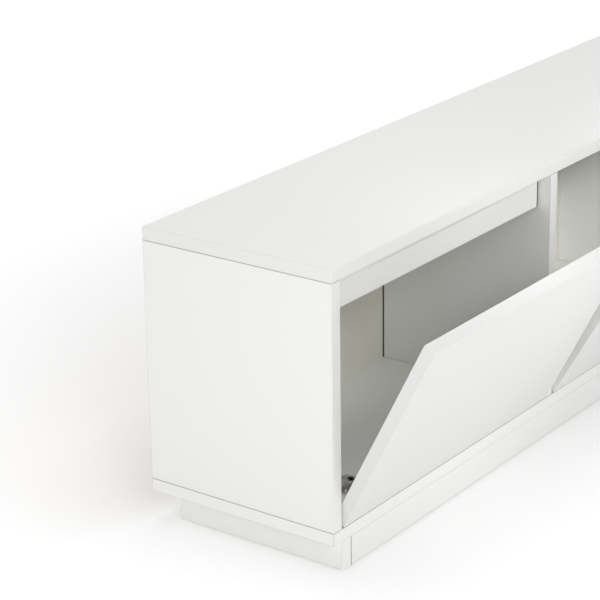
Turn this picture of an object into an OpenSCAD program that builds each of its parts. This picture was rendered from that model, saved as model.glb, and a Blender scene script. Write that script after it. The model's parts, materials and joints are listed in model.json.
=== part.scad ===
// TV stand with three drop-down flaps, on a recessed plinth. Millimetres, +Z up, front faces -Y.
// The origin is on the floor, at the centre of the carcass.

/* [Carcass] */
// Overall width of the carcass
body_w = 1620; // [1200:1:2000]
// Overall depth of the carcass
body_d = 300; // [270:1:420]
// Overall height, from the floor to the top face
body_h = 420; // [360:1:520]
// Thickness of the boards
board_t = 18; // [16:0.1:22]
// Rounding of the edge band on every board
edge_r = 0.7; // [0.3:0.1:1.5]
// Thickness of the back panels
back_t = 3; // [2.5:0.5:5]
// Distance from the rear edge to the back of the back panels
back_inset = 12.4; // [8:0.1:20]
// Depth of the groove that holds a back panel
groove_depth = 6; // [4:0.5:7]

/* [Plinth] */
// Height of the plinth, from the floor to the underside of the bottom panel
plinth_h = 44; // [34:1:90]
// Distance of the plinth from each end of the carcass
plinth_inset_side = 20; // [0:1:60]
// Distance of the plinth from the rear edge
plinth_inset_back = 33; // [0:1:60]
// Thickness of the glides under the plinth
glide_h = 2; // [1.5:0.5:4]
// Diameter of the glides
glide_d = 16; // [10:1:17]

/* [Flaps] */
// Thickness of the flaps
flap_t = 18; // [15:0.5:20]
// Gap under a closed flap
floor_gap = 2.5; // [2:0.5:4]
// Gap at each end of a flap
end_gap = 1.75; // [1:0.25:3]
// Height of the finger gap above a closed flap
finger_gap = 35; // [28:1:42]
// How far the left flap stands open, in degrees
left_angle = 26.8; // [0:0.1:90]
// How far the middle flap stands open, in degrees
middle_angle = 29.5; // [0:0.1:90]
// How far the right flap stands open, in degrees
right_angle = 26.8; // [0:0.1:90]
// Height of the rail behind the finger gap
rail_h = 50; // [42:1:70]
// Thickness of the soft bumpers between a flap and its rail
bumper_t = 2.3; // [1.5:0.1:3]

/* [Hinges] */
// Distance from a flap's end to the centre of its hinge
hinge_inset = 107.5; // [70:0.5:160]
// Diameter of the hinge cup
cup_d = 35; // [35:1:40]
// Depth of the hinge cup in the flap
cup_depth = 12; // [11.5:0.5:13]
// Distance from the flap's lower edge to the centre of the cup
cup_offset = 22.5; // [22:0.5:24]
// Distance from the flap's inner face to the line of the plate screws
plate_line = 42; // [37:1:50]

/* [Flap stays] */
// Radius about the hinge line of both ends of the stay
stay_r = 180; // [150:1:190]
// Outer diameter of the stay's tube
tube_d = 15; // [12:1:16]
// Diameter of the stay's rod
rod_d = 6; // [5:1:7]

/* [Hidden] */
$fn = 48;
white = [0.91, 0.91, 0.895];
white_back = [0.87, 0.865, 0.84];
nickel = [0.72, 0.72, 0.7];
steel = [0.6, 0.61, 0.62];
dark_steel = [0.28, 0.29, 0.3];
zinc = [0.66, 0.66, 0.63];
beech = [0.80, 0.63, 0.43];
plastic_white = [0.93, 0.93, 0.91];
rubber_clear = [0.85, 0.86, 0.85];

// Fits
joint_gap = 0.05;      // between a pin, screw or dowel and its hole
seam = 0.4;            // between two boards that are not drawn tight
groove_fit = 0.15;     // on each face and edge of a back panel
turn_gap = 0.3;        // between pieces that turn past each other

// Carcass
left_x = -body_w / 2;
front_y = -body_d / 2;
back_y = body_d / 2;
floor_z = plinth_h + board_t;
roof_z = body_h - board_t;
bay_h = roof_z - floor_z;
bays = 3;
bay_w = (body_w - (bays + 1) * board_t) / bays;
bay_pitch = bay_w + board_t;
bay_x = [for (i = [0 : bays - 1]) (i - (bays - 1) / 2) * bay_pitch];
upright_x = [for (i = [0 : bays]) (i - bays / 2) * bay_pitch];
// the face of each upright that carries its cam locks: +1 right, -1 left
cam_side = [1, 1, 1, -1];
panel_y = back_y - back_inset - back_t;
back_h = bay_h + 2 * (groove_depth - groove_fit);
back_w = bay_w + 2 * (groove_depth - groove_fit);

// Corner joints: a cam and bolt near the front and rear edge, and a dowel between them
cam_d = 15;
cam_h = 12.5;
cam_line = 34;
bolt_d = 7;
bolt_thread_d = 5;
bolt_thread_l = 11;
bolt_head_d = 6.4;
bolt_neck_d = 3.6;
bolt_hole_l = cam_line + 1.5;
bolt_shank_l = cam_line - cam_d / 2 - 4;
bolt_head_l = 5;
bolt_head_rise = 1;
bolt_pocket_gap = 0.3;
cam_floor_gap = 0.2;
cam_slot = [3, 9, 1.6];
cam_y = [front_y + 54, panel_y - 44];
dowel_d = 8;
dowel_l = 28;
dowel_in_face = 11;
dowel_y = [front_y + 86, panel_y - 76];
cap_t = 1;
cap_d = 17;
cap_tip_d = 15.8;
rail_dowel_pitch = 0.38 * bay_w;

// Plinth
plinth_left = left_x + plinth_inset_side;
plinth_back = back_y - plinth_inset_back;
plinth_board_h = plinth_h - glide_h;
plinth_edge_r = 0.3;
block = 20;
block_t = 4;
block_gap = 0.2;       // between a block and the board beside it
block_rib_t = 1.5;
block_screw_drop = 12.4;
plinth_front_w = body_w - 2 * (plinth_inset_side + board_t + seam);
plinth_side_d = plinth_back - front_y;
screw_d = 3.5;
screw_head_d = 7;
screw_head_h = 2.2;
screw_hole_l = 11;
wall_screw_l = 13;
block_screw_l = 15;
nail_d = 2;
nail_l = 10;
glide_inset = 40;
glide_x = [for (i = [-2 : 2]) i * body_w / 6];

// Rails
bumper_d = 9;
bumper_tip_d = 5.4;
bumper_inset = 40;
bumper_gap = 0.2;
rail_recess = flap_t + bumper_t + bumper_gap;
rail_y = front_y + rail_recess;
rail_z = roof_z - rail_h;

// Flaps: the hinge line lies just under the flap's lower front edge
pivot_drop = 4.5;
pivot_z = floor_z + floor_gap - pivot_drop;
local_floor = floor_z - pivot_z;
flap_w = bay_w - 2 * end_gap;
flap_h = bay_h - floor_gap - finger_gap;
flap_angle = [left_angle, middle_angle, right_angle];
full_swing = 90;
hinge_x = [-flap_w / 2 + hinge_inset, flap_w / 2 - hinge_inset];

// Hinge linkage: a parallelogram on the hinge line, seen from the end, with the flap closed.
// Pin A is on the arm, pin B is in the cup, and pin K joins the two links: K = A + B.
pin_a = [14, 22];
pin_b = [11, 20.5];
pin_k = pin_a + pin_b;
pin_r = 1.5;
eye_r = 2.8;
link_half = 2;
nose_half = 3;
swing_in = nose_half + 0.2;
swing_out = swing_in + 1.8;
tie_in = swing_out + 0.2;
tie_out = tie_in + 1.8;
cheek_in = tie_out + 0.2;
cheek_out = cheek_in + 1.4;
cup_z = pivot_drop + cup_offset;
cup_wall = 1;
cup_flange = 1;
cup_screw_x = 22.5;
cup_screw_z = cup_z + 9.5;
cup_fit = 0.05;
arm_w = 17;
arm_wall = 1.6;
arm_h = 6;
arm_top = pin_a[1] + nose_half;
plate_h = 11;
arm_low = local_floor + plate_h + arm_wall;
arm_wide_y = 26;
plate_y = flap_t + plate_line;
plate_wing_t = 2.5;
plate_wing_d = 15;
plate_w = arm_w - 2 * (arm_wall + 0.1);
plate_l = 32;
arm_screw_d = 4;
arm_screw_l = 5;
arm_screw_head_d = 6;
arm_screw_head_h = 3.4;
depth_slot_d = 7.6;
depth_slot_l = 6;
side_hole_d = 6.4;
plate_screw_x = 16;
arm_end_y = plate_y + 16;
arm_screw_y = plate_y + 2;
adjust_screw_y = plate_y - 11;
euro_d = 5;
euro_l = 12;
euro_head_d = 8.4;

// Flap stay: both ends lie at the same radius from the hinge line, so that the tube turns
// half as far as the flap and stays in line with the rod
stay_off = 16;
stay_rise = 20;
stay_side = 13;
stay_end = 16;
eye_w = rod_d + 1;
stay_eye_r = 6;
stud_d = 5;
stud_head_d = 8;
stud_head_t = 1.6;
stay_b = [flap_t + stay_off, sqrt(stay_r ^ 2 - (flap_t + stay_off) ^ 2)];
stay_a = [sqrt(stay_r ^ 2 - (local_floor + stay_rise) ^ 2), local_floor + stay_rise];
stay_closed = atan2(stay_b[1] - stay_a[1], stay_b[0] - stay_a[0]);
stay_x = bay_w / 2 - stay_side;
tube_wall = 1;
tube_base = 3;
gland_l = 8;
piston_l = 12;
stay_spread = atan2(stay_a[0], stay_a[1]) - atan2(stay_b[0], stay_b[1]);
stay_short = 2 * stay_r * sin(stay_spread / 2);
stay_long = 2 * stay_r * sin((stay_spread + full_swing) / 2);
rod_l = stay_short - stay_end - tube_base - 3;
tube_l = stay_long - rod_l - stay_end + piston_l + gland_l + 2;
foot_t = 2;
foot_pitch = 14;
foot_end_d = 14;
foot_screw_z = 12;
foot_w = 24;
ear_face = stay_side + eye_w / 2 + turn_gap;

// ---------- shared shapes ----------

// a rectangle with its corners rounded by true arcs
module soft_rect(w, h, r) {
    translate([r, 0]) square([w - 2 * r, h]);
    translate([0, r]) square([w, h - 2 * r]);
    for (x = [r, w - r], y = [r, h - r]) translate([x, y]) circle(r);
}

// a board with every edge rounded, from its lowest corner
module board(size, r = edge_r) {
    intersection() {
        linear_extrude(size[2]) soft_rect(size[0], size[1], r);
        rotate([90, 0, 90]) linear_extrude(size[0]) soft_rect(size[1], size[2], r);
        translate([0, size[1], 0]) rotate([90, 0, 0])
            linear_extrude(size[1]) soft_rect(size[0], size[2], r);
    }
}

// a cylinder along X, centred on x = 0
module rod_x(d, l) {
    rotate([0, 90, 0]) cylinder(d = d, h = l, center = true);
}

// a profile drawn in the (y, z) plane, thick along X and centred on x = 0
module plate_x(t) {
    translate([-t / 2, 0, 0]) rotate([90, 0, 90]) linear_extrude(t) children();
}

// a flat link between two points of the (y, z) plane
module link_x(from, to, t, half, r) {
    span = norm(to - from);
    turn = atan2(to[1] - from[1], to[0] - from[0]);
    plate_x(t) {
        translate(from) circle(r);
        translate(to) circle(r);
        translate(from) rotate(turn) translate([0, -half]) square([span, 2 * half]);
    }
}

// a wood screw that points down, with its head's underside at z = 0
module screw(d, l, head_d, head_h) {
    difference() {
        union() {
            translate([0, 0, -l]) cylinder(d = d, h = l);
            cylinder(d1 = head_d, d2 = head_d * 0.62, h = head_h);
        }
        for (a = [0, 90]) rotate(a)
            translate([-head_d * 0.22, -0.4, head_h * 0.45]) cube([head_d * 0.44, 0.8, head_h]);
    }
}

// every place at the given depths on the centre lines of the uprights
module at_uprights(ys) {
    for (i = [0 : bays], y = ys) translate([upright_x[i], y, 0]) children();
}

// ---------- carcass ----------

// holes in the top (up = 1) or bottom (up = -1) panel, from its inner face at height z
module cam_bolt_holes(z, up) {
    at_uprights(cam_y) translate([0, 0, z + up * bolt_thread_l / 2])
        cylinder(d = bolt_thread_d + 2 * joint_gap, h = bolt_thread_l + 1, center = true);
}

module dowel_holes(z, up) {
    at_uprights(dowel_y) translate([0, 0, z + up * dowel_in_face / 2])
        cylinder(d = dowel_d + 2 * joint_gap, h = dowel_in_face + 1, center = true);
}

// the grooves for the three back panels, in the face of the top or bottom panel at height z
module back_grooves(z) {
    for (x = bay_x) translate([x, panel_y + back_t / 2, z])
        cube([bay_w + 2 * groove_depth, back_t + 2 * groove_fit, 2 * groove_depth], center = true);
}

module rail_dowel_places() {
    for (x = [bay_x[0], bay_x[bays - 1]], s = [-1, 0, 1])
        translate([x + s * rail_dowel_pitch, rail_y + board_t / 2, roof_z]) children();
}

module top_panel() {
    color(white) difference() {
        translate([left_x, front_y, roof_z]) board([body_w, body_d, board_t]);
        cam_bolt_holes(roof_z, 1);
        dowel_holes(roof_z, 1);
        back_grooves(roof_z);
        rail_dowel_places() translate([0, 0, -1])
            cylinder(d = dowel_d + 2 * joint_gap, h = dowel_in_face + 1.5);
    }
}

module bottom_panel() {
    color(white) difference() {
        translate([left_x, front_y, plinth_h]) board([body_w, body_d, board_t]);
        cam_bolt_holes(floor_z, -1);
        dowel_holes(floor_z, -1);
        back_grooves(floor_z);
        at_hinges() plate_screw_places() translate([0, 0, -euro_l - 1])
            cylinder(d = euro_d + 2 * joint_gap, h = euro_l + 1);
        block_places() translate([block / 2, block / 2, -1])
            cylinder(d = screw_d + 2 * joint_gap, h = block_screw_l - block_t + 2);
    }
}

// one upright board: grooves on its inner faces, cams on one face, bolts and dowels in its ends
module upright(i) {
    x = upright_x[i];
    side = cam_side[i];
    difference() {
        translate([x - board_t / 2, front_y, floor_z]) board([board_t, body_d, bay_h]);
        for (s = [-1, 1]) if (i + s / 2 > 0 && i + s / 2 < bays)
            translate([x + s * board_t / 2, panel_y + back_t / 2, floor_z + bay_h / 2])
                cube([2 * groove_depth, back_t + 2 * groove_fit, bay_h + 2], center = true);
        for (y = cam_y, z = [floor_z + cam_line, roof_z - cam_line])
            translate([x + side * board_t / 2, y, z])
                rod_x(cam_d + 2 * joint_gap, 2 * (cam_h + cam_floor_gap));
        for (y = cam_y, z = [floor_z, roof_z]) translate([x, y, z])
            cylinder(d = bolt_d + 1, h = 2 * bolt_hole_l, center = true);
        for (y = dowel_y, z = [floor_z, roof_z]) translate([x, y, z])
            cylinder(d = dowel_d + 2 * joint_gap, h = 2 * (dowel_l - dowel_in_face) + 1,
                center = true);
        if (i > 0) stay_foot_holes(i - 1);
    }
}

module left_side() { color(white) upright(0); }
module left_divider() { color(white) upright(1); }
module right_divider() { color(white) upright(2); }
module right_side() { color(white) upright(3); }

module back_panel(i) {
    color(white_back)
        translate([bay_x[i] - back_w / 2, panel_y, floor_z - groove_depth + groove_fit])
        cube([back_w, back_t, back_h]);
}

module rail(i) {
    // the rail stops just short of the upright on its right
    color(white) difference() {
        translate([bay_x[i] - bay_w / 2, rail_y, rail_z]) board([bay_w - seam, board_t, rail_h]);
        rail_dowel_places() translate([0, 0, -dowel_l + dowel_in_face - 0.5])
            cylinder(d = dowel_d + 2 * joint_gap, h = dowel_l);
    }
}

// ---------- plinth ----------

// the front or rear board, between the two end boards
module plinth_board(y) {
    color(white) difference() {
        translate([-plinth_front_w / 2, y, glide_h])
            board([plinth_front_w, board_t, plinth_board_h], plinth_edge_r);
        block_face_holes();
        glide_places() glide_hole();
    }
}

module plinth_end(s) {
    x = s < 0 ? plinth_left : -plinth_left - board_t;
    color(white) difference() {
        translate([x, front_y, glide_h])
            board([board_t, plinth_side_d, plinth_board_h], plinth_edge_r);
        glide_places() glide_hole();
    }
}

module plinth_brace() {
    color(white) difference() {
        translate([-board_t / 2, front_y + board_t + seam, glide_h])
            board([board_t, plinth_side_d - 2 * (board_t + seam), plinth_board_h],
                plinth_edge_r);
        glide_places() glide_hole();
    }
}

// Corner blocks: origin at the inner corner of two boards under the bottom panel
module block_places() {
    x0 = -plinth_left - board_t - seam;
    y0 = front_y + board_t;
    y1 = plinth_back - board_t;
    for (s = [-1, 1]) {
        translate([s * x0, y0, plinth_h]) mirror([s > 0 ? 1 : 0, 0, 0]) children();
        translate([s * x0, y1, plinth_h])
            mirror([s > 0 ? 1 : 0, 0, 0]) mirror([0, 1, 0]) children();
        translate([s * board_t / 2, y0, plinth_h]) mirror([s > 0 ? 0 : 1, 0, 0]) children();
        translate([s * board_t / 2, y1, plinth_h])
            mirror([s > 0 ? 0 : 1, 0, 0]) mirror([0, 1, 0]) children();
    }
}

// the screw of each block that goes into the front or rear board
module block_face_screw() {
    translate([block / 2, block_t, -block_screw_drop]) rotate([-90, 0, 0]) children();
}

module block_face_holes() {
    block_places() block_face_screw() translate([0, 0, -block_screw_l - 1])
        cylinder(d = screw_d + 2 * joint_gap, h = block_screw_l + 1);
}

module corner_blocks() {
    color(plastic_white) block_places() difference() {
        union() {
            translate([block_gap, 0, -block]) cube([block, block_t, block]);
            translate([block_gap, 0, -block_t]) cube([block, block, block_t]);
            for (x = [block_gap, block_gap + block - block_rib_t]) translate([x, 0, 0])
                rotate([90, 0, 90]) linear_extrude(block_rib_t)
                polygon([[0, 0], [block, 0], [0, -block]]);
        }
        translate([block / 2, block / 2, -block_t - 1])
            cylinder(d = screw_d + 2 * joint_gap, h = block_t + 2);
        block_face_screw() translate([0, 0, -block_t - 1])
            cylinder(d = screw_d + 2 * joint_gap, h = block_t + 2);
    }
}

module block_screws() {
    color(steel) block_places() {
        translate([block / 2, block / 2, -block_t]) rotate([180, 0, 0])
            screw(screw_d, block_screw_l, screw_head_d, screw_head_h);
        block_face_screw() screw(screw_d, block_screw_l, screw_head_d, screw_head_h);
    }
}

module glide_places() {
    for (s = [-1, 1], y = [front_y + glide_inset, plinth_back - glide_inset])
        translate([s * (plinth_left + board_t / 2), y, 0]) children();
    for (x = glide_x, y = [front_y + board_t / 2, plinth_back - board_t / 2])
        translate([x, y, 0]) children();
    children();
}

module glide_hole() {
    translate([0, 0, glide_h - 1]) cylinder(d = nail_d + 2 * joint_gap, h = nail_l + 1);
}

module glides() {
    color(plastic_white) glide_places() {
        cylinder(d1 = glide_d - 2, d2 = glide_d, h = glide_h / 2);
        translate([0, 0, glide_h / 2]) cylinder(d = glide_d, h = glide_h / 2);
        cylinder(d = nail_d, h = glide_h + nail_l - 1);
    }
}

// ---------- fittings in the carcass ----------

module cam_places() {
    for (i = [0 : bays], y = cam_y, up = [-1, 1])
        translate([upright_x[i], y, up < 0 ? floor_z : roof_z]) mirror([0, 0, up > 0 ? 1 : 0])
            mirror([cam_side[i] > 0 ? 0 : 1, 0, 0]) children();
}

module cam_locks() {
    color(zinc) cam_places() translate([board_t / 2 - cam_h, 0, cam_line]) difference() {
        rotate([0, 90, 0]) cylinder(d = cam_d, h = cam_h);
        // the pocket for the head of the bolt
        translate([cam_h - board_t / 2, 0, -cam_d / 2])
            cylinder(d = bolt_head_d + 2 * bolt_pocket_gap, h = cam_d / 2 + bolt_head_d / 2);
        // cross slot
        for (a = [45, 135]) translate([cam_h, 0, 0]) rotate([a, 0, 0])
            cube(cam_slot, center = true);
    }
}

module cam_bolts() {
    color(steel) cam_places() {
        translate([0, 0, -bolt_thread_l]) cylinder(d = bolt_thread_d, h = bolt_thread_l);
        cylinder(d = bolt_d, h = bolt_shank_l);
        cylinder(d = bolt_neck_d, h = cam_line - bolt_head_l / 2);
        translate([0, 0, cam_line + bolt_head_rise - bolt_head_l])
            cylinder(d = bolt_head_d, h = bolt_head_l);
    }
}

module cam_caps() {
    color(plastic_white) cam_places() translate([board_t / 2, 0, cam_line]) rotate([0, 90, 0]) {
        cylinder(d = cap_d, h = cap_t / 2);
        translate([0, 0, cap_t / 2]) cylinder(d1 = cap_d, d2 = cap_tip_d, h = cap_t / 2);
    }
}

module dowels() {
    color(beech) {
        at_uprights(dowel_y) {
            translate([0, 0, floor_z - dowel_in_face]) cylinder(d = dowel_d, h = dowel_l);
            translate([0, 0, roof_z + dowel_in_face - dowel_l]) cylinder(d = dowel_d, h = dowel_l);
        }
        rail_dowel_places() translate([0, 0, dowel_in_face - dowel_l])
            cylinder(d = dowel_d, h = dowel_l);
    }
}

// ---------- frames for the flap gear ----------

// the hinge line of bay i, with the flap closed
module at_line(i) { translate([bay_x[i], front_y, pivot_z]) children(); }

// whatever turns with flap i
module on_flap(i) { at_line(i) rotate([flap_angle[i], 0, 0]) children(); }

// every hinge of the carcass, with the origin on its hinge line
module at_hinges() {
    for (i = [0 : bays - 1], x = hinge_x) at_line(i) translate([x, 0, 0]) children();
}

// turns a piece by angle about a pin at p in the (y, z) plane
module about_pin(p, angle) {
    translate([0, p[0], p[1]]) rotate([angle, 0, 0]) translate([0, -p[0], -p[1]]) children();
}

module plate_screw_places() {
    for (s = [-1, 1]) translate([s * plate_screw_x, plate_y, local_floor]) children();
}

// ---------- hinges, carcass side ----------

module hinge_plates() {
    color(nickel) at_hinges() difference() {
        union() {
            translate([-plate_w / 2, arm_end_y + 1 - plate_l, local_floor])
                cube([plate_w, plate_l, plate_h]);
            for (s = [-1, 1]) translate([s * plate_screw_x, plate_y, local_floor])
                cylinder(d = plate_wing_d, h = plate_wing_t);
            translate([-plate_screw_x, plate_y - plate_wing_d * 0.4, local_floor])
                cube([2 * plate_screw_x, plate_wing_d * 0.8, plate_wing_t]);
        }
        plate_screw_places() translate([0, 0, -1])
            cylinder(d = euro_d + 2 * joint_gap, h = plate_wing_t + 2);
        for (y = [arm_screw_y, adjust_screw_y])
            translate([0, y, local_floor + plate_h - arm_screw_l - 1])
            cylinder(d = arm_screw_d + 2 * joint_gap, h = plate_h);
    }
}

module plate_screws() {
    color(steel) at_hinges() plate_screw_places() translate([0, 0, plate_wing_t])
        screw(euro_d, euro_l + plate_wing_t - 0.5, euro_head_d, screw_head_h);
}

// the outline of an arm from its side, from the nose to the rear end
module arm_outline() {
    translate(pin_a) circle(nose_half);
    polygon([[pin_a[0], arm_top], [36, arm_top], [44, arm_low], [arm_end_y, arm_low],
        [arm_end_y, arm_low - arm_h], [37, arm_low - arm_h], [32, pin_a[1] - nose_half],
        [pin_a[0], pin_a[1] - nose_half]]);
}

module hinge_arms() {
    color(nickel) at_hinges() {
        difference() {
            union() {
                plate_x(2 * nose_half) intersection() {
                    arm_outline();
                    square([arm_wide_y + 2, 40]);
                }
                plate_x(arm_w) intersection() {
                    arm_outline();
                    translate([arm_wide_y, 0]) square([arm_end_y, 40]);
                }
            }
            // the hollow of the channel, over the mounting plate
            plate_x(arm_w - 2 * arm_wall) polygon([[31, 0], [31, 20], [43, arm_low - arm_wall],
                [arm_end_y + 1, arm_low - arm_wall], [arm_end_y + 1, 0]]);
            // the long hole over the depth screw, and the hole of the side screw
            for (s = [-1, 1]) translate([0, arm_screw_y + s * depth_slot_l / 2, 0])
                cylinder(d = depth_slot_d, h = 40);
            translate([-depth_slot_d / 2, arm_screw_y - depth_slot_l / 2, 0])
                cube([depth_slot_d, depth_slot_l, 40]);
            translate([0, adjust_screw_y, 0]) cylinder(d = side_hole_d, h = 40);
        }
        // pin A
        translate([0, pin_a[0], pin_a[1]]) rod_x(2 * pin_r, 2 * swing_out);
    }
}

module arm_screws() {
    color(dark_steel) at_hinges() for (y = [arm_screw_y, adjust_screw_y])
        translate([0, y, local_floor + plate_h]) difference() {
            union() {
                translate([0, 0, -arm_screw_l]) cylinder(d = arm_screw_d, h = arm_screw_l + 1);
                cylinder(d = arm_screw_head_d, h = arm_screw_head_h);
            }
            for (a = [0, 90]) rotate(a) translate([-2, -0.45, 2]) cube([4, 0.9, 3]);
        }
}

// ---------- hinges, flap side ----------

module cup_screw_places() {
    for (x = hinge_x, s = [-1, 1]) translate([x + s * cup_screw_x, flap_t, cup_screw_z])
        rotate([-90, 0, 0]) children();
}

module stay_foot_screw_places() {
    for (s = [-1, 1])
        translate([bay_w / 2 - ear_face - foot_w / 2, flap_t, stay_b[1] + s * foot_screw_z])
            rotate([-90, 0, 0]) children();
}

module flap(i) {
    color(white) on_flap(i) difference() {
        translate([-flap_w / 2, 0, pivot_drop]) board([flap_w, flap_t, flap_h]);
        for (x = hinge_x) translate([x, flap_t + 1, cup_z]) rotate([90, 0, 0])
            cylinder(d = cup_d + 2 * cup_fit, h = cup_depth + 1 + cup_fit, $fn = 96);
        cup_screw_places() translate([0, 0, -screw_hole_l])
            cylinder(d = screw_d + 2 * joint_gap, h = screw_hole_l + 1);
        stay_foot_screw_places() translate([0, 0, -screw_hole_l])
            cylinder(d = screw_d + 2 * joint_gap, h = screw_hole_l + 1);
    }
}

// soft bumpers on the inner face, where the closed flap meets its rail
module bumpers(i) {
    low_z = rail_z - pivot_z;
    high_z = pivot_drop + flap_h;
    color(rubber_clear) on_flap(i) for (s = [-1, 1])
        translate([s * (flap_w / 2 - bumper_inset), flap_t, (low_z + high_z) / 2])
            rotate([-90, 0, 0]) {
                cylinder(d = bumper_d, h = bumper_t / 2);
                translate([0, 0, bumper_t / 2])
                    cylinder(d1 = bumper_d, d2 = bumper_tip_d, h = bumper_t / 2);
            }
}

// Cup: a pot with a flange on the flap's inner face, and two ears that hold the stub pins B
module cups(i) {
    color(nickel) on_flap(i) for (x = hinge_x) translate([x, 0, 0]) {
        difference() {
            union() {
                translate([0, flap_t, cup_z]) rotate([90, 0, 0])
                    cylinder(d = cup_d, h = cup_depth, $fn = 96);
                translate([0, flap_t + cup_flange, cup_z]) rotate([90, 0, 0])
                    cylinder(d = cup_d + 2, h = cup_flange, $fn = 96);
                for (s = [-1, 1]) translate([s * cup_screw_x, flap_t + cup_flange, cup_screw_z])
                    rotate([90, 0, 0]) cylinder(d = 11, h = cup_flange);
                translate([-cup_screw_x, flap_t, cup_screw_z - 5.5])
                    cube([2 * cup_screw_x, cup_flange, 11]);
            }
            translate([0, flap_t + cup_flange + 1, cup_z]) rotate([90, 0, 0])
                cylinder(d = cup_d - 2 * cup_wall, h = cup_depth + cup_flange + 0.2, $fn = 96);
            for (s = [-1, 1]) translate([s * cup_screw_x, flap_t + cup_flange + 1, cup_screw_z])
                rotate([90, 0, 0]) cylinder(d = screw_d + 2 * joint_gap, h = 3);
        }
        for (s = [-1, 1]) {
            // an ear that stands on the floor of the cup
            translate([s * (cheek_in + cheek_out) / 2, 0, 0]) plate_x(cheek_out - cheek_in) {
                translate(pin_b) circle(eye_r);
                translate([flap_t - cup_depth + 0.5, pin_b[1] - eye_r])
                    square([pin_b[0] - flap_t + cup_depth - 0.5, 2 * eye_r]);
            }
            translate([s * (tie_in + cheek_out) / 2, pin_b[0], pin_b[1]])
                rod_x(2 * pin_r, cheek_out - tie_in);
        }
    }
}

module flap_screws(i) {
    color(steel) on_flap(i) {
        cup_screw_places() translate([0, 0, cup_flange])
            screw(screw_d, screw_hole_l, screw_head_d, screw_head_h);
        stay_foot_screw_places() translate([0, 0, foot_t])
            screw(screw_d, screw_hole_l + foot_t - 1, screw_head_d, screw_head_h);
    }
}

// Swing links: a pair of plates from pin A to pin K, which turn with the flap
module swing_links(i) {
    color(nickel) at_line(i) for (x = hinge_x) translate([x, 0, 0])
        about_pin(pin_a, flap_angle[i]) for (s = [-1, 1])
            translate([s * (swing_in + swing_out) / 2, 0, 0]) difference() {
                link_x(pin_a, pin_k, swing_out - swing_in, link_half, eye_r);
                for (p = [pin_a, pin_k]) translate([0, p[0], p[1]])
                    rod_x(2 * (pin_r + joint_gap), 10);
            }
}

// Tie links: a fork from pin B to pin K, which stays parallel to itself as the flap turns
module tie_links(i) {
    color(nickel) on_flap(i) for (x = hinge_x) translate([x, 0, 0])
        about_pin(pin_b, -flap_angle[i]) {
            for (s = [-1, 1]) translate([s * (tie_in + tie_out) / 2, 0, 0]) difference() {
                link_x(pin_b, pin_k, tie_out - tie_in, link_half, eye_r);
                translate([0, pin_b[0], pin_b[1]]) rod_x(2 * (pin_r + joint_gap), 10);
            }
            translate([0, pin_k[0], pin_k[1]]) rod_x(2 * pin_r, 2 * tie_out);
        }
}

// ---------- flap stays ----------

module wall_foot_places(i) {
    at_line(i) for (s = [-1, 1])
        translate([bay_w / 2, stay_a[0] + s * foot_pitch, stay_a[1]]) children();
}

module stay_foot_holes(i) {
    wall_foot_places(i) rod_x(screw_d + 2 * joint_gap, 2 * wall_screw_l + 2);
}

module stay_wall_brackets() {
    color(steel) for (i = [0 : bays - 1]) {
        difference() {
            union() {
                at_line(i)
                    translate([bay_w / 2 - foot_t, stay_a[0] - foot_pitch, stay_a[1] - foot_end_d / 2])
                    cube([foot_t, 2 * foot_pitch, foot_end_d]);
                wall_foot_places(i) translate([-foot_t / 2, 0, 0]) rod_x(foot_end_d, foot_t);
            }
            wall_foot_places(i) rod_x(screw_d + 2 * joint_gap, 10);
        }
        // the stud, with a shoulder behind the eye and a head in front of it
        at_line(i) translate([bay_w / 2, stay_a[0], stay_a[1]]) rotate([0, -90, 0]) {
            cylinder(d = stud_d, h = ear_face + stud_head_t);
            cylinder(d = stud_head_d, h = stay_side - eye_w / 2 - turn_gap);
            translate([0, 0, ear_face]) cylinder(d = stud_head_d, h = stud_head_t);
        }
    }
}

module stay_bracket_screws() {
    color(steel) for (i = [0 : bays - 1]) wall_foot_places(i)
        translate([-foot_t, 0, 0]) rotate([0, -90, 0])
            screw(screw_d, wall_screw_l, screw_head_d, screw_head_h);
}

module flap_bracket(i) {
    color(steel) on_flap(i) translate([bay_w / 2 - ear_face, 0, 0]) {
        difference() {
            translate([-foot_w, flap_t, stay_b[1] - foot_screw_z - 6])
                cube([foot_w, foot_t, 2 * foot_screw_z + 12]);
            for (s = [-1, 1])
                translate([-foot_w / 2, flap_t, stay_b[1] + s * foot_screw_z])
                    rotate([90, 0, 0])
                    cylinder(d = screw_d + 2 * joint_gap, h = 10, center = true);
        }
        // the ear, and its stud through the eye of the rod
        translate([-foot_t / 2, 0, 0]) plate_x(foot_t) {
            translate(stay_b) circle(stay_eye_r);
            polygon([[flap_t, stay_b[1] - 11], [stay_b[0] - 1, stay_b[1] - stay_eye_r + 0.1],
                [stay_b[0] - 1, stay_b[1] + stay_eye_r - 0.1], [flap_t, stay_b[1] + 11]]);
        }
        translate([0, stay_b[0], stay_b[1]]) rotate([0, 90, 0]) {
            translate([0, 0, -foot_t / 2])
                cylinder(d = stud_d, h = foot_t / 2 + eye_w + 2 * turn_gap + stud_head_t);
            translate([0, 0, eye_w + 2 * turn_gap]) cylinder(d = stud_head_d, h = stud_head_t);
        }
    }
}

module stay_tube(i) {
    color(dark_steel) at_line(i) about_pin(stay_a, flap_angle[i] / 2)
        translate([stay_x, stay_a[0], stay_a[1]]) rotate([stay_closed - 90, 0, 0])
            difference() {
                union() {
                    rod_x(2 * stay_eye_r, eye_w);
                    cylinder(d = eye_w, h = stay_end + 1);
                    translate([0, 0, stay_end]) cylinder(d = tube_d, h = tube_l);
                }
                rod_x(stud_d + 2 * joint_gap, 20);
                translate([0, 0, stay_end + tube_base])
                    cylinder(d = tube_d - 2 * tube_wall, h = tube_l - tube_base - gland_l);
                translate([0, 0, stay_end + tube_base])
                    cylinder(d = rod_d + 2 * joint_gap, h = tube_l);
            }
}

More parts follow.
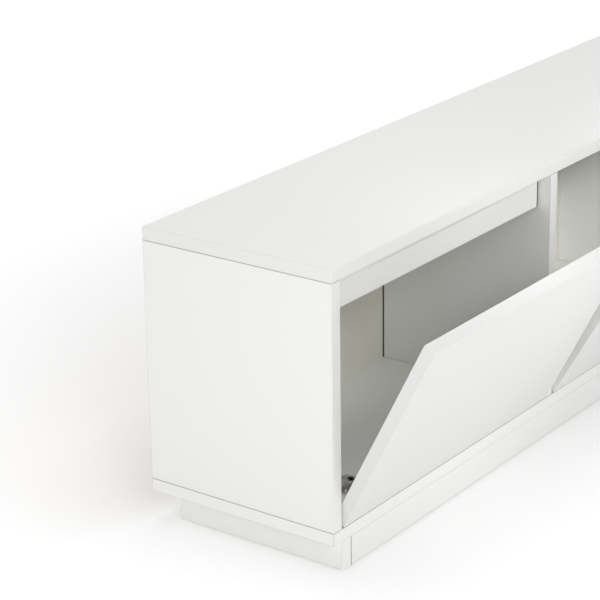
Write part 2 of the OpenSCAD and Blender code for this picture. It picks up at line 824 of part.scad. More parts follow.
module stay_rod(i) {
    color(steel) on_flap(i) about_pin(stay_b, -flap_angle[i] / 2)
        translate([stay_x, stay_b[0], stay_b[1]]) rotate([stay_closed + 90, 0, 0])
            difference() {
                union() {
                    rod_x(2 * stay_eye_r, eye_w);
                    cylinder(d = eye_w, h = stay_end - 2);
                    cylinder(d = rod_d, h = rod_l);
                    translate([0, 0, rod_l - piston_l])
                        cylinder(d = tube_d - 2 * tube_wall - 0.12, h = piston_l);
                }
                rod_x(stud_d + 2 * joint_gap, 20);
            }
}

// ---------- the model ----------

top_panel();
bottom_panel();
left_side();
right_side();
left_divider();
right_divider();
back_panel(0);  // left_back_panel
back_panel(1);  // middle_back_panel
back_panel(2);  // right_back_panel
rail(0);  // left_rail
rail(2);  // right_rail
plinth_board(front_y);  // plinth_front
plinth_board(plinth_back - board_t);  // plinth_rear
plinth_end(-1);  // plinth_left_end
plinth_end(1);  // plinth_right_end
plinth_brace();
corner_blocks();
block_screws();
glides();
cam_locks();
cam_bolts();
cam_caps();
dowels();
hinge_plates();
plate_screws();
hinge_arms();
arm_screws();
stay_wall_brackets();
stay_bracket_screws();
flap(0);  // left_flap
bumpers(0);  // left_bumpers
cups(0);  // left_cups
flap_screws(0);  // left_flap_screws
swing_links(0);  // left_swing_links
tie_links(0);  // left_tie_links
flap_bracket(0);  // left_stay_bracket
stay_tube(0);  // left_stay_tube
stay_rod(0);  // left_stay_rod
flap(1);  // middle_flap
cups(1);  // middle_cups
flap_screws(1);  // middle_flap_screws
swing_links(1);  // middle_swing_links
tie_links(1);  // middle_tie_links
flap_bracket(1);  // middle_stay_bracket
stay_tube(1);  // middle_stay_tube
stay_rod(1);  // middle_stay_rod
flap(2);  // right_flap
bumpers(2);  // right_bumpers
cups(2);  // right_cups
flap_screws(2);  // right_flap_screws
swing_links(2);  // right_swing_links
tie_links(2);  // right_tie_links
flap_bracket(2);  // right_stay_bracket
stay_tube(2);  // right_stay_tube
stay_rod(2);  // right_stay_rod
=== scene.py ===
# %% [markdown]
# # A white TV stand with three drop-down flaps
#
# This lesson dresses a flat-pack TV stand: boards of chipboard with white melamine faces, bottom-hinged flaps,
# nickel-plated concealed hinges and a small stay that holds each flap at any angle. The design comes in as a fixed
# frame, in metres, with +Z up and the front facing -Y. Everything below adds looks to it and never moves it.

# %% Load the frame
import bpy
import bmesh
import json
import math
from mathutils import Matrix, Vector


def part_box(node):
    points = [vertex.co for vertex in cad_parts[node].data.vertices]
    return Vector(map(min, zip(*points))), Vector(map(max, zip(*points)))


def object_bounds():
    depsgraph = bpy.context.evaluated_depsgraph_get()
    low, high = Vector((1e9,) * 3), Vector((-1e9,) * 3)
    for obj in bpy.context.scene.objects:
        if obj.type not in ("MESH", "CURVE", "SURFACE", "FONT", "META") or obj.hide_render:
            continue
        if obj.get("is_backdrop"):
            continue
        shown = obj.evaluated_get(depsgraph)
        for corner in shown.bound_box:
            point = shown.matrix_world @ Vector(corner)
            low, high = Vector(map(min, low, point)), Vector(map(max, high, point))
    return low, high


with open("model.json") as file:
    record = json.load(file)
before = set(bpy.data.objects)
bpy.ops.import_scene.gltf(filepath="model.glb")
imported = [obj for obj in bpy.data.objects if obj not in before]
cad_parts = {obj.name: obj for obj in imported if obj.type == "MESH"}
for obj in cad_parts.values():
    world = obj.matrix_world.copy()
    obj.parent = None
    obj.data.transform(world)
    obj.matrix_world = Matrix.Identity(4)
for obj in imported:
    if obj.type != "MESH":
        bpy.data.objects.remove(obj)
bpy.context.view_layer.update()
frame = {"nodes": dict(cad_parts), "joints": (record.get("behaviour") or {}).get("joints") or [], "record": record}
SIDES = ("left", "middle", "right")
joints = {joint["name"]: joint for joint in frame["joints"]}
slot_of_node = {part["node"]: part["material_slot"] for part in frame["record"]["subparts"]}

# %% [markdown]
# ## The camera
#
# A long lens from well outside keeps the board edges nearly parallel, as a furniture catalogue does. The camera could
# be aimed with a Track To constraint, but a maker who wants the same picture every time writes down where it stands
# and how it is turned: yaw about the vertical, pitch down to the furniture, and a small roll.

# %% Camera
CAMERA_PLACE = (-2.876, -1.622, 1.3348)
CAMERA_YAW, CAMERA_PITCH, CAMERA_ROLL = -53.66, -20.59, 0.89
CAMERA_LENS, CAMERA_SENSOR = 132.9, 36
CAMERA_SEES = 60
STAND_UP = Matrix.Rotation(math.radians(90), 3, "X")

camera = bpy.data.objects.new("camera", bpy.data.cameras.new("camera"))
camera.data.lens = CAMERA_LENS
camera.data.sensor_width = CAMERA_SENSOR
camera.data.clip_end = CAMERA_SEES
turn = (
    Matrix.Rotation(math.radians(CAMERA_YAW), 3, "Z")
    @ Matrix.Rotation(math.radians(CAMERA_PITCH), 3, "X")
    @ Matrix.Rotation(math.radians(CAMERA_ROLL), 3, "Y")
    @ STAND_UP
)
camera.matrix_world = Matrix.Translation(CAMERA_PLACE) @ turn.to_4x4()
bpy.context.scene.collection.objects.link(camera)
bpy.context.scene.camera = camera
print("camera at", CAMERA_PLACE, "lens", CAMERA_LENS)

# %% [markdown]
# ## Node helpers
#
# A material here is a small tree of nodes. Two helpers keep the recipes short: one adds a node with its settings, and
# one joins sockets. Every pattern reads Object coordinates, which are metres on this furniture, so a scale of 1000
# means about one feature in each millimetre.

# %% Helpers for node trees
def add(tree, kind, **values):
    """A new node. A value whose name is an input is set on that socket, any other on the node."""
    node = tree.nodes.new(kind)
    for name, value in values.items():
        socket = node.inputs.get(name.replace("_", " "))
        if hasattr(node, name):
            setattr(node, name, value)
        elif socket is not None:
            socket.default_value = value
        else:
            raise KeyError(f"{kind} has no {name}")
    return node


def join(tree, source, target):
    tree.links.new(source, target)


def math_node(tree, operation, first, second=None, third=None, clamp=False):
    node = add(tree, "ShaderNodeMath", operation=operation, use_clamp=clamp)
    for socket, value in zip(node.inputs, (first, second, third)):
        if isinstance(value, bpy.types.NodeSocket):
            join(tree, value, socket)
        elif value is not None:
            socket.default_value = value
    return node.outputs[0]


def mix_colour(tree, share, first, second, blend="MIX"):
    node = add(tree, "ShaderNodeMix", data_type="RGBA", blend_type=blend, clamp_factor=True)
    for socket, value in ((node.inputs[0], share), (node.inputs[6], first), (node.inputs[7], second)):
        if isinstance(value, bpy.types.NodeSocket):
            join(tree, value, socket)
        else:
            socket.default_value = value
    return node.outputs[2]


def new_group(name, inputs, outputs):
    tree = bpy.data.node_groups.new(name, "ShaderNodeTree")
    kinds = {"vector": "NodeSocketVector", "colour": "NodeSocketColor", "value": "NodeSocketFloat"}
    for label, kind, default in inputs:
        socket = tree.interface.new_socket(label, in_out="INPUT", socket_type=kinds[kind])
        socket.default_value = default
    for label, kind in outputs:
        tree.interface.new_socket(label, in_out="OUTPUT", socket_type=kinds[kind])
    return tree, tree.nodes.new("NodeGroupInput"), tree.nodes.new("NodeGroupOutput")


def use_group(tree, group, **values):
    node = tree.nodes.new("ShaderNodeGroup")
    node.node_tree = group
    for name, value in values.items():
        socket = node.inputs[name.replace("_", " ")]
        if isinstance(value, bpy.types.NodeSocket):
            join(tree, value, socket)
        else:
            socket.default_value = value
    return node


def new_material(name, **constants):
    """A material with a Principled BSDF whose plain constants are set on its own sockets."""
    material = bpy.data.materials.new(name)
    material.use_nodes = True
    tree = material.node_tree
    shader = tree.nodes["Principled BSDF"]
    for label, value in constants.items():
        shader.inputs[label.replace("_", " ")].default_value = value
    return material, tree, shader


def object_coordinates(tree):
    return add(tree, "ShaderNodeTexCoord").outputs["Object"]


def feed_bump(tree, shader, height, strength, distance, edge_radius=0.0):
    """A bump from a height. An edge radius also softens the sharp edges of small hard parts."""
    bump = add(tree, "ShaderNodeBump", Strength=strength, Distance=distance)
    if edge_radius:
        soft_edge = add(tree, "ShaderNodeBevel", samples=4, Radius=edge_radius)
        join(tree, soft_edge.outputs["Normal"], bump.inputs["Normal"])
    join(tree, height, bump.inputs["Height"])
    join(tree, bump.outputs["Normal"], shader.inputs["Normal"])


def dress(node_name, material):
    """Gives a CAD node its material, in every slot that it has."""
    piece = frame["nodes"][node_name]
    if not piece.material_slots:
        piece.data.materials.append(material)
    for slot in piece.material_slots:
        slot.material = material


print("helpers ready")

# %% [markdown]
# ## Melamine grain
#
# White furniture board isn't perfectly smooth. Its resin face is pressed against a plate with a fine pearl texture, and
# the tone drifts a little over a metre of board. The group below gives the three things that change over the surface:
# the colour, the roughness and a bump height. It is built once, and every board places it with its own values.

# %% Group: melamine grain
PEARL_SCALE = 1100.0
DRIFT_SCALE = 2.6
PEARL_GLOSS = 0.10

melamine, group_in, group_out = new_group(
    "melamine_grain",
    [("Vector", "vector", (0, 0, 0)), ("Tone", "colour", (0.85, 0.85, 0.84, 1)), ("Drift", "value", 0.02),
     ("Gloss", "value", 0.42)],
    [("Colour", "colour"), ("Roughness", "value"), ("Height", "value")],
)
pearl = add(melamine, "ShaderNodeTexNoise", Scale=PEARL_SCALE, Detail=2.0, Roughness=0.5)
drift = add(melamine, "ShaderNodeTexNoise", Scale=DRIFT_SCALE, Detail=3.0, Roughness=0.55)
for texture in (pearl, drift):
    join(melamine, group_in.outputs["Vector"], texture.inputs["Vector"])
signed = math_node(melamine, "SUBTRACT", drift.outputs["Fac"], 0.5)
gain = math_node(melamine, "MULTIPLY_ADD", signed, group_in.outputs["Drift"], 1.0)
tinted = add(melamine, "ShaderNodeVectorMath", operation="SCALE")
join(melamine, group_in.outputs["Tone"], tinted.inputs[0])
join(melamine, gain, tinted.inputs["Scale"])
join(melamine, tinted.outputs[0], group_out.inputs["Colour"])
pearl_signed = math_node(melamine, "SUBTRACT", pearl.outputs["Fac"], 0.5)
uneven = math_node(melamine, "MULTIPLY_ADD", pearl_signed, PEARL_GLOSS, group_in.outputs["Gloss"])
join(melamine, uneven, group_out.inputs["Roughness"])
join(melamine, pearl.outputs["Fac"], group_out.inputs["Height"])
print("melamine_grain has", len(melamine.nodes), "nodes")

# %% [markdown]
# ## Chipboard
#
# Flat-pack boards are edge banded only where they show. At the back, the raw edge is left: pressed wood chips, light
# straw to brown, with a few dark specks. Stretched Voronoi cells give the flat chips, and a fine noise the fibres.

# %% Group: raw chipboard
CHIP_SCALE = 420.0
CHIP_STRETCH = (0.45, 0.45, 1.5)
CHIP_PALE = (0.62, 0.45, 0.27, 1)
CHIP_DARK = (0.30, 0.18, 0.09, 1)

chipboard, group_in, group_out = new_group(
    "raw_chipboard", [("Vector", "vector", (0, 0, 0))], [("Colour", "colour"), ("Height", "value")]
)
stretch = add(chipboard, "ShaderNodeMapping", Scale=CHIP_STRETCH)
join(chipboard, group_in.outputs["Vector"], stretch.inputs["Vector"])
chips = add(chipboard, "ShaderNodeTexVoronoi", feature="F1", Scale=CHIP_SCALE)
fibres = add(chipboard, "ShaderNodeTexNoise", Scale=CHIP_SCALE * 4, Detail=3.0)
join(chipboard, stretch.outputs[0], chips.inputs["Vector"])
join(chipboard, stretch.outputs[0], fibres.inputs["Vector"])
chip_tone = add(chipboard, "ShaderNodeSeparateColor")
join(chipboard, chips.outputs["Color"], chip_tone.inputs[0])
shade = math_node(chipboard, "MULTIPLY_ADD", fibres.outputs["Fac"], 0.5,
                  math_node(chipboard, "MULTIPLY", chip_tone.outputs[0], 0.6), clamp=True)
join(chipboard, mix_colour(chipboard, shade, CHIP_PALE, CHIP_DARK), group_out.inputs["Colour"])
join(chipboard, chips.outputs["Distance"], group_out.inputs["Height"])
print("raw_chipboard has", len(chipboard.nodes), "nodes")

# %% [markdown]
# ## Where a board is banded and where it is raw
#
# The next group looks at where a point lies between a board's lowest and highest corners. Near the outer edges it is
# the plastic edge band, one millimetre thick, with a hairline of glue beside it. At the rear face it is raw chipboard.
# Masks like these could be painted on, but a position test stays sharp at any distance and fits every board by itself.

# %% Group: board edges
BAND_T = 0.001
GLUE_LINE = 0.00022
RAW_DEPTH = 0.00025

edges, group_in, group_out = new_group(
    "board_edges",
    [("Vector", "vector", (0, 0, 0)), ("Low", "vector", (0, 0, 0)), ("High", "vector", (1, 1, 1)),
     ("Across", "vector", (1, 1, 1))],
    [("Band", "value"), ("Glue", "value"), ("Raw", "value")],
)
from_low = add(edges, "ShaderNodeVectorMath", operation="SUBTRACT")
from_high = add(edges, "ShaderNodeVectorMath", operation="SUBTRACT")
nearest = add(edges, "ShaderNodeVectorMath", operation="MINIMUM")
widened = add(edges, "ShaderNodeVectorMath", operation="ADD")
parts = add(edges, "ShaderNodeSeparateXYZ")
join(edges, group_in.outputs["Vector"], from_low.inputs[0])
join(edges, group_in.outputs["Low"], from_low.inputs[1])
join(edges, group_in.outputs["High"], from_high.inputs[0])
join(edges, group_in.outputs["Vector"], from_high.inputs[1])
join(edges, from_low.outputs[0], nearest.inputs[0])
join(edges, from_high.outputs[0], nearest.inputs[1])
join(edges, nearest.outputs[0], widened.inputs[0])
join(edges, group_in.outputs["Across"], widened.inputs[1])
join(edges, widened.outputs[0], parts.inputs[0])
to_edge = math_node(edges, "MINIMUM", math_node(edges, "MINIMUM", parts.outputs[0], parts.outputs[1]),
                    parts.outputs[2])
band = math_node(edges, "LESS_THAN", to_edge, BAND_T)
glue = math_node(edges, "COMPARE", to_edge, BAND_T, GLUE_LINE / 2)
rear = add(edges, "ShaderNodeSeparateXYZ")
join(edges, from_high.outputs[0], rear.inputs[0])
raw = math_node(edges, "LESS_THAN", rear.outputs[1], RAW_DEPTH)
for name, value in (("Band", band), ("Glue", glue), ("Raw", raw)):
    join(edges, value, group_out.inputs[name])
print("board_edges has", len(edges.nodes), "nodes")

# %% [markdown]
# ## The painted shade of a joint
#
# Where two boards meet, their rounded edges leave a fine groove that light hardly reaches. Its shade could be left to
# the light alone, but here it is painted: a dark tone within Reach of the joint plane keeps the line clean from far
# away. The flat faces, which lie exactly on the plane, stay white. Four widths of painted shade are in use: the tight
# seam of two boards bolted together, the darker seam of the plinth, and the shade of a narrow gap painted beside a
# back panel and at a rail's ends.

# %% Group: joint shadow
ON_PLANE = 0.00003
# Painted shade: the reach and the dark tone of each kind of joint line.
SEAM_SHADE = (0.00045, (0.40, 0.395, 0.38, 1))
PLINTH_SEAM_SHADE = (0.0006, (0.20, 0.20, 0.19, 1))
GAP_SHADE = (0.0016, (0.035, 0.034, 0.030, 1))
RAIL_GAP_SHADE = (0.003, (0.06, 0.06, 0.055, 1))

joint_shadow, group_in, group_out = new_group(
    "joint_shadow", [("Vector", "vector", (0, 0, 0)), ("Axis", "vector", (0, 0, 1)), ("Place", "value", 0.0),
                     ("Reach", "value", 0.0005)],
    [("Mask", "value")],
)
along = add(joint_shadow, "ShaderNodeVectorMath", operation="DOT_PRODUCT")
join(joint_shadow, group_in.outputs["Vector"], along.inputs[0])
join(joint_shadow, group_in.outputs["Axis"], along.inputs[1])
apart = math_node(joint_shadow, "ABSOLUTE",
                  math_node(joint_shadow, "SUBTRACT", along.outputs["Value"], group_in.outputs["Place"]))
near = math_node(joint_shadow, "LESS_THAN", apart, group_in.outputs["Reach"])
off_plane = math_node(joint_shadow, "GREATER_THAN", apart, ON_PLANE)
join(joint_shadow, math_node(joint_shadow, "MULTIPLY", near, off_plane), group_out.inputs["Mask"])
print("joint_shadow has", len(joint_shadow.nodes), "nodes")

# %% [markdown]
# ## White board
#
# Each board gets a material of its own from one recipe, because the edge test needs that board's corners. Across holds
# a large number on the axis through the board's thickness, so that its two broad faces never count as edges. A flap
# lies open, so a Mapping node first turns its points back to the closed, upright position. The flaps and the edge
# bands are a darker white, which is painted shade that keeps them darker than the top; the base bands are lighter.

# %% Recipe: white board
WHITE = (0.925, 0.924, 0.912, 1)
# The edge bands have a tone of their own, set darker than the boards as painted shade on the lit front edges.
BAND_SHADED_WHITE = (0.87, 0.87, 0.85, 1)
BASE_BAND = (0.93, 0.93, 0.91, 1)
# Painted shade: the flaps are set darker than the boards, so their fronts stay darker than the top.
FLAP_SHADED_WHITE = (0.80, 0.80, 0.79, 1)
GLUE_TONE = (0.60, 0.59, 0.57, 1)
BOARD_DRIFT, BOARD_GLOSS = 0.012, 0.40
RAW_ROUGHER = 0.4
PEARL_BUMP, PEARL_DEPTH = 0.12, 0.00004
FAR = 9.0
AXES = {"x": (1, 0, 0), "y": (0, 1, 0), "z": (0, 0, 1)}


# Paints the shade of each joint plane as a dark tone over the colour.
def paint_joint_shade(tree, place, colour, joint_planes):
    for axis, place_on_axis, (reach, tone) in joint_planes:
        shadow = use_group(tree, joint_shadow, Vector=place, Axis=AXES[axis], Place=place_on_axis, Reach=reach)
        colour = mix_colour(tree, shadow.outputs["Mask"], colour, tone)
    return colour


def board_material(node_name, thin_axis, low, high, raw_rear=True, hinge=None, angle=0.0, tone=WHITE,
                   band=BAND_SHADED_WHITE, joint_planes=()):
    material, tree, shader = new_material("white_board_" + node_name, IOR=1.5)
    place = object_coordinates(tree)
    if hinge is not None:
        centred = add(tree, "ShaderNodeMapping", Location=[-c for c in hinge])
        closed = add(tree, "ShaderNodeMapping", Rotation=(-angle, 0, 0))
        join(tree, place, centred.inputs["Vector"])
        join(tree, centred.outputs[0], closed.inputs["Vector"])
        place = closed.outputs[0]
    across = [FAR if axis == thin_axis else 0.0 for axis in "xyz"]
    grain = use_group(tree, melamine, Vector=place, Tone=tone, Drift=BOARD_DRIFT, Gloss=BOARD_GLOSS)
    masks = use_group(tree, edges, Vector=place, Low=low, High=high, Across=across)
    chips = use_group(tree, chipboard, Vector=place)
    colour = mix_colour(tree, masks.outputs["Band"], grain.outputs["Colour"], band)
    colour = mix_colour(tree, masks.outputs["Glue"], colour, GLUE_TONE)
    colour = paint_joint_shade(tree, place, colour, joint_planes)
    if raw_rear:
        colour = mix_colour(tree, masks.outputs["Raw"], colour, chips.outputs["Colour"])
        rough = math_node(tree, "MULTIPLY_ADD", masks.outputs["Raw"], RAW_ROUGHER, grain.outputs["Roughness"])
        join(tree, rough, shader.inputs["Roughness"])
    else:
        join(tree, grain.outputs["Roughness"], shader.inputs["Roughness"])
    join(tree, colour, shader.inputs["Base Color"])
    feed_bump(tree, shader, grain.outputs["Height"], PEARL_BUMP, PEARL_DEPTH)
    return material


THIN = {"top_panel": "z", "bottom_panel": "z", "left_side": "x", "right_side": "x", "left_divider": "x",
        "right_divider": "x", "left_rail": "y", "right_rail": "y", "plinth_front": "y", "plinth_rear": "y",
        "plinth_left_end": "x", "plinth_right_end": "x", "plinth_brace": "x"}
UPRIGHTS = ("left_side", "left_divider", "right_divider", "right_side")
RAW_AT_REAR = ("top_panel", "bottom_panel") + UPRIGHTS
floor_plane, roof_plane = (corner[2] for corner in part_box("left_side"))
end_in_left, end_in_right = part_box("plinth_left_end")[1][0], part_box("plinth_right_end")[0][0]
front_left, front_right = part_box("plinth_front")[0][0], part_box("plinth_front")[1][0]
back_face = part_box("left_back_panel")[0][1]
# Where each board gets the painted shade of its joints as dark lines.
JOINT_SHADE_PLANES = {"top_panel": [("z", roof_plane, SEAM_SHADE)],
          "bottom_panel": [("z", floor_plane, SEAM_SHADE)] + [("x", c[0], SEAM_SHADE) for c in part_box("bottom_panel")],
          "plinth_left_end": [("x", end_in_left, PLINTH_SEAM_SHADE)],
          "plinth_right_end": [("x", end_in_right, PLINTH_SEAM_SHADE)],
          "plinth_front": [("x", front_left, PLINTH_SEAM_SHADE), ("x", front_right, PLINTH_SEAM_SHADE)],
          "plinth_rear": [("x", front_left, PLINTH_SEAM_SHADE), ("x", front_right, PLINTH_SEAM_SHADE)]}
# Painted shade: a dark band at both ends of each rail, beside the upright it meets.
for rail in ("left_rail", "right_rail"):
    JOINT_SHADE_PLANES[rail] = [("x", corner[0], RAIL_GAP_SHADE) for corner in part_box(rail)]
for upright in UPRIGHTS:
    JOINT_SHADE_PLANES[upright] = [("z", floor_plane, SEAM_SHADE), ("z", roof_plane, SEAM_SHADE)]
# Painted shade: a dark line on the left divider beside the back panel, as in the corner of a gap.
JOINT_SHADE_PLANES["left_divider"].append(("y", back_face, GAP_SHADE))
for name, axis in THIN.items():
    low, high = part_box(name)
    in_base = name == "bottom_panel" or name.startswith("plinth")
    dress(name, board_material(name, axis, low, high, raw_rear=name in RAW_AT_REAR,
                               band=BASE_BAND if in_base else BAND_SHADED_WHITE, joint_planes=JOINT_SHADE_PLANES.get(name, ())))
print("joint planes at z =", round(floor_plane, 4), "and", round(roof_plane, 4))

# %% The flaps, turned back to closed
for side in SIDES:
    joint = joints[side + "_flap_open"]
    angle = -math.radians(joint["range_deg"][0])
    hinge = Vector(joint["pos_m"])
    back = Matrix.Rotation(-angle, 3, "X")
    corners = [back @ (vertex.co - hinge) for vertex in frame["nodes"][side + "_flap"].data.vertices]
    low = [min(corner[i] for corner in corners) for i in range(3)]
    high = [max(corner[i] for corner in corners) for i in range(3)]
    # Both the face and the band of a flap take the darker flap tone, which is painted shade.
    flap_shaded_white = board_material(side + "_flap", "y", low, high, raw_rear=False, hinge=hinge, angle=angle,
                                tone=FLAP_SHADED_WHITE, band=FLAP_SHADED_WHITE)
    dress(side + "_flap", flap_shaded_white)
    print(side, "flap stands", round(math.degrees(angle), 1), "degrees open")

# %% [markdown]
# ## Hardboard backs
#
# A back panel is three millimetres of pressed fibre. Its inner face has a thin white foil with a slightly warm tone,
# and its back is bare brown. One material does both: every point that lies deeper than the foil is bare fibre.

# %% Back panels
FOIL = (0.89, 0.88, 0.79, 1)
FOIL_DEPTH = 0.0004
FIBRE_PALE, FIBRE_DARK = (0.33, 0.20, 0.105, 1), (0.20, 0.115, 0.055, 1)
FIBRE_SCALE, CLOUD_SCALE = 700.0, 9.0

hardboard, tree, shader = new_material("hardboard", IOR=1.45)
place = object_coordinates(tree)
fibres = add(tree, "ShaderNodeTexNoise", Scale=FIBRE_SCALE, Detail=4.0, Roughness=0.7)
clouds = add(tree, "ShaderNodeTexNoise", Scale=CLOUD_SCALE, Detail=3.0)
for texture in (fibres, clouds):
    join(tree, place, texture.inputs["Vector"])
fleck = math_node(tree, "MULTIPLY_ADD", fibres.outputs["Fac"], 0.7,
                  math_node(tree, "MULTIPLY", clouds.outputs["Fac"], 0.35), clamp=True)
brown = mix_colour(tree, fleck, FIBRE_PALE, FIBRE_DARK)
split = add(tree, "ShaderNodeSeparateXYZ")
join(tree, place, split.inputs[0])
bare = math_node(tree, "GREATER_THAN", split.outputs[1], back_face + FOIL_DEPTH)
foil = use_group(tree, melamine, Vector=place, Tone=FOIL, Drift=0.02, Gloss=0.5)
# Painted shade: a dark line on the foil beside each face of the left divider, the shade of the corner.
divider_corner_shade = [("x", corner[0], GAP_SHADE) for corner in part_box("left_divider")]
foil_and_corner_shade = paint_joint_shade(tree, place, foil.outputs["Colour"], divider_corner_shade)
join(tree, mix_colour(tree, bare, foil_and_corner_shade, brown), shader.inputs["Base Color"])
join(tree, math_node(tree, "MULTIPLY_ADD", bare, 0.25, foil.outputs["Roughness"]), shader.inputs["Roughness"])
feed_bump(tree, shader, fibres.outputs["Fac"], 0.15, 0.00005)
for side in SIDES:
    dress(side + "_back_panel", hardboard)
print("back panels face forward at y =", round(back_face, 4))

# %% [markdown]
# ## Plated and painted metal
#
# Nickel and zinc plating both show faint drawing lines and a cloudy gloss. One group makes lines along a chosen axis by
# squeezing a noise, and the materials differ in colour, roughness and how strong the lines are.

# %% Group: drawn metal
LINE_SCALE, PLATE_CLOUD_SCALE = 2600.0, 160.0
CLOUD_TONE, CLOUD_GLOSS = 0.18, 0.15

metal_lines, group_in, group_out = new_group(
    "drawn_metal",
    [("Vector", "vector", (0, 0, 0)), ("Squeeze", "vector", (1, 0.05, 1)), ("Tone", "colour", (0.7, 0.7, 0.7, 1)),
     ("Gloss", "value", 0.3), ("Spread", "value", 0.12)],
    [("Colour", "colour"), ("Roughness", "value"), ("Height", "value")],
)
squeezed = add(metal_lines, "ShaderNodeVectorMath", operation="MULTIPLY")
join(metal_lines, group_in.outputs["Vector"], squeezed.inputs[0])
join(metal_lines, group_in.outputs["Squeeze"], squeezed.inputs[1])
lines = add(metal_lines, "ShaderNodeTexNoise", Scale=LINE_SCALE, Detail=2.0)
cloud = add(metal_lines, "ShaderNodeTexNoise", Scale=PLATE_CLOUD_SCALE, Detail=3.0)
join(metal_lines, squeezed.outputs[0], lines.inputs["Vector"])
join(metal_lines, group_in.outputs["Vector"], cloud.inputs["Vector"])
shift = math_node(metal_lines, "SUBTRACT", cloud.outputs["Fac"], 0.5)
level = math_node(metal_lines, "MULTIPLY_ADD", shift, CLOUD_TONE, 1.0)
toned = add(metal_lines, "ShaderNodeVectorMath", operation="SCALE")
join(metal_lines, group_in.outputs["Tone"], toned.inputs[0])
join(metal_lines, level, toned.inputs["Scale"])
join(metal_lines, toned.outputs[0], group_out.inputs["Colour"])
line_shift = math_node(metal_lines, "SUBTRACT", lines.outputs["Fac"], 0.5)
rough = math_node(metal_lines, "MULTIPLY_ADD", line_shift, group_in.outputs["Spread"], group_in.outputs["Gloss"])
join(metal_lines, math_node(metal_lines, "MULTIPLY_ADD", shift, CLOUD_GLOSS, rough, clamp=True),
     group_out.inputs["Roughness"])
join(metal_lines, lines.outputs["Fac"], group_out.inputs["Height"])
print("drawn_metal has", len(metal_lines.nodes), "nodes")

# %% [markdown]
# ## A recipe for every metal
#
# The small metal parts are pressed or cast, and their edges are tumbled round before plating. Rounding every edge of
# the mesh would cost many triangles, so a Bevel node softens the shading there by a third of a millimetre instead.

# %% Recipe: metal
METAL_EDGE = 0.00035
METAL_DEPTH = 0.00002


def metal_material(name, tone, gloss, squeeze=(1, 0.05, 1), spread=0.12, metallic=1.0, bump=0.15):
    material, tree, shader = new_material(name, Metallic=metallic)
    lines = use_group(tree, metal_lines, Vector=object_coordinates(tree), Squeeze=squeeze, Tone=tone, Gloss=gloss,
                      Spread=spread)
    join(tree, lines.outputs["Colour"], shader.inputs["Base Color"])
    join(tree, lines.outputs["Roughness"], shader.inputs["Roughness"])
    feed_bump(tree, shader, lines.outputs["Height"], bump, METAL_DEPTH, edge_radius=METAL_EDGE)
    return material


nickel = metal_material("nickel_plate", (0.62, 0.61, 0.575, 1), 0.30)
zinc_plate = metal_material("zinc_plate", (0.60, 0.62, 0.64, 1), 0.34)
zinc_casting = metal_material("zinc_casting", (0.46, 0.46, 0.45, 1), 0.48, squeeze=(1, 1, 1), bump=0.5)
black_oxide = metal_material("black_oxide", (0.045, 0.045, 0.05, 1), 0.42, metallic=0.8)
tube_paint = metal_material("tube_paint", (0.23, 0.235, 0.245, 1), 0.36, squeeze=(1, 1, 1), metallic=0.35)
chrome_rod = metal_material("chrome_rod", (0.80, 0.80, 0.81, 1), 0.10, squeeze=(1, 0.02, 0.02), spread=0.05)
print("metals ready")

# %% [markdown]
# ## Plastic, rubber and beech
#
# The small fittings are moulded polypropylene with a faint spark-eroded texture, clear polyurethane for the bumpers,
# and bare beech for the dowels. Each is short, and each still has a pattern that changes over its surface.

# %% Small materials
def moulded_plastic(name, tone, gloss, soft=0.0):
    material, tree, shader = new_material(name, Subsurface_Weight=soft, Subsurface_Scale=0.002)
    skin = use_group(tree, melamine, Vector=object_coordinates(tree), Tone=tone, Drift=0.05, Gloss=gloss)
    join(tree, skin.outputs["Colour"], shader.inputs["Base Color"])
    join(tree, skin.outputs["Roughness"], shader.inputs["Roughness"])
    feed_bump(tree, shader, skin.outputs["Height"], 0.3, 0.00004)
    return material


white_plastic = moulded_plastic("white_plastic", (0.83, 0.83, 0.81, 1), 0.45)
bumper_gel = moulded_plastic("bumper_gel", (0.72, 0.73, 0.72, 1), 0.18, soft=0.4)

BEECH_PALE, BEECH_DARK = (0.66, 0.44, 0.25, 1), (0.46, 0.27, 0.13, 1)

beech, tree, shader = new_material("beech")
grain_map = add(tree, "ShaderNodeMapping", Scale=(1.0, 1.0, 0.06))
fibre = add(tree, "ShaderNodeTexNoise", Scale=900.0, Detail=4.0)
join(tree, object_coordinates(tree), grain_map.inputs["Vector"])
join(tree, grain_map.outputs[0], fibre.inputs["Vector"])
join(tree, mix_colour(tree, fibre.outputs["Fac"], BEECH_PALE, BEECH_DARK), shader.inputs["Base Color"])
join(tree, math_node(tree, "MULTIPLY_ADD", fibre.outputs["Fac"], 0.2, 0.5), shader.inputs["Roughness"])
feed_bump(tree, shader, fibre.outputs["Fac"], 0.3, 0.00008)
print("small materials ready")

# %% [markdown]
# ## Which node wears what
#
# The record names a material slot for every node. Boards and backs are dressed already, so this cell goes through what
# is left and looks up the finish by its slot.

# %% Dress the fittings
FINISH = {"white_plastic": white_plastic, "bumper": bumper_gel, "beech": beech, "zinc": zinc_casting,
          "screw_steel": zinc_plate, "nickel": nickel, "dark_screw": black_oxide, "stay_tube": tube_paint,
          "stay_rod": chrome_rod}
for name, slot in slot_of_node.items():
    if slot in FINISH:
        dress(name, FINISH[slot])
print("fittings dressed:", sum(slot in FINISH for slot in slot_of_node.values()))

# %% [markdown]
# ## Floor and light
#
# The stand is shown on a plain pale floor in even studio light: a bright room all round, and two large soft boxes that
# make the top a little lighter than the end, and the end a little lighter than the front. Four narrow spots reach past
# the open flaps: a fill and a key into the left compartment, one at the rail, and one into the middle compartment.
# The floor glows a little, and more so far away, so that it runs into white without a visible horizon.

# %% Floor
FLOOR_SIZE = 30.0
GLOW_NEAR, GLOW_FAR = 0.14, 0.36
GLOW_STARTS, GLOW_ENDS = 0.5, 1.6
PAPER_LOW, PAPER_HIGH = (0.94, 0.94, 0.94, 1), (0.95, 0.95, 0.95, 1)

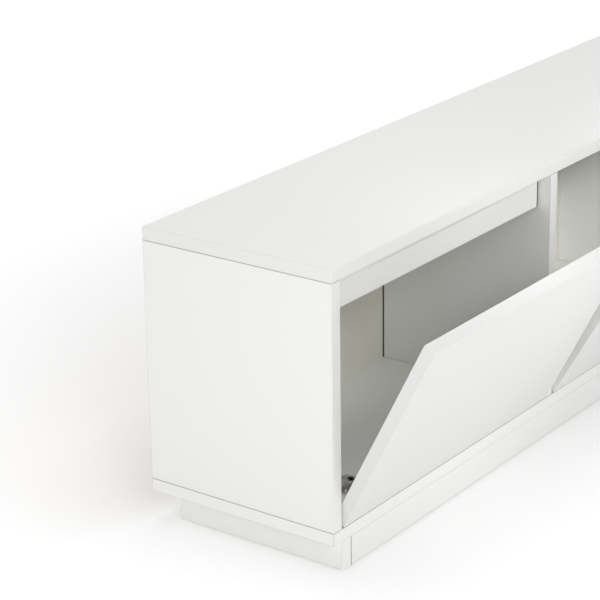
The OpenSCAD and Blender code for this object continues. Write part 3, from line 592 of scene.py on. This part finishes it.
floor_mesh = bmesh.new()
bmesh.ops.create_grid(floor_mesh, x_segments=1, y_segments=1, size=FLOOR_SIZE / 2)
floor = bpy.data.objects.new("floor", bpy.data.meshes.new("floor"))
floor_mesh.to_mesh(floor.data)
floor_mesh.free()
bpy.context.scene.collection.objects.link(floor)
paper, tree, shader = new_material("floor_paper", Roughness=0.9, Emission_Color=(1, 1, 1, 1))
place = object_coordinates(tree)
mottle = add(tree, "ShaderNodeTexNoise", Scale=1.5, Detail=2.0)
join(tree, place, mottle.inputs["Vector"])
join(tree, mix_colour(tree, mottle.outputs["Fac"], PAPER_LOW, PAPER_HIGH), shader.inputs["Base Color"])
reach = add(tree, "ShaderNodeVectorMath", operation="LENGTH")
join(tree, place, reach.inputs[0])
glow = add(tree, "ShaderNodeMapRange", interpolation_type="SMOOTHSTEP")
for name, value in (("From Min", GLOW_STARTS), ("From Max", GLOW_ENDS), ("To Min", GLOW_NEAR), ("To Max", GLOW_FAR)):
    glow.inputs[name].default_value = value
join(tree, reach.outputs["Value"], glow.inputs["Value"])
join(tree, glow.outputs["Result"], shader.inputs["Emission Strength"])
floor.data.materials.append(paper)
floor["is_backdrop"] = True

# %% Light
ROOM_LIGHT = 0.57
SPOT_BLEND = 0.7
world = bpy.data.worlds.new("studio")
bpy.context.scene.world = world
world.use_nodes = True
world.node_tree.nodes["Background"].inputs["Color"].default_value = (1, 1, 1, 1)
world.node_tree.nodes["Background"].inputs["Strength"].default_value = ROOM_LIGHT


def place_lamp(name, lamp, place, aim, power):
    lamp.energy = power
    piece = bpy.data.objects.new(name, lamp)
    piece.location = place
    piece.rotation_euler = (Vector(aim) - Vector(place)).to_track_quat("-Z", "Y").to_euler()
    bpy.context.scene.collection.objects.link(piece)


def soft_box(name, place, aim, size, power):
    lamp = bpy.data.lights.new(name, "AREA")
    lamp.shape = "SQUARE"
    lamp.size = size
    place_lamp(name, lamp, place, aim, power)


def spot(name, place, aim, cone, radius, power):
    lamp = bpy.data.lights.new(name, "SPOT")
    lamp.spot_size = math.radians(cone)
    lamp.spot_blend = SPOT_BLEND
    lamp.shadow_soft_size = radius
    place_lamp(name, lamp, place, aim, power)


soft_box("corner_soft_box", (-3.2, -3.2, 2.6), (-0.4, 0, 0.25), 2.0, 31)
soft_box("overhead_soft_box", (0, -0.3, 3.6), (0, 0, 0.2), 3.0, 38)
spot("compartment_fill", (-2.0, -1.7, 1.25), (-0.45, 0, 0.15), 17, 0.25, 26)
spot("compartment_key", (-0.55, -1.15, 1.15), (-0.50, 0, 0.13), 17, 0.12, 12)
spot("rail_kicker", (-0.35, -1.4, 0.62), (-0.31, -0.15, 0.37), 19, 0.12, 11)
spot("middle_kicker", (-0.7, -0.9, 0.86), (0.25, 0.08, 0.12), 11, 0.12, 34)
bpy.context.scene.view_settings.view_transform = "Standard"
print("floor and light ready")

# %% Sizes
low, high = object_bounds()
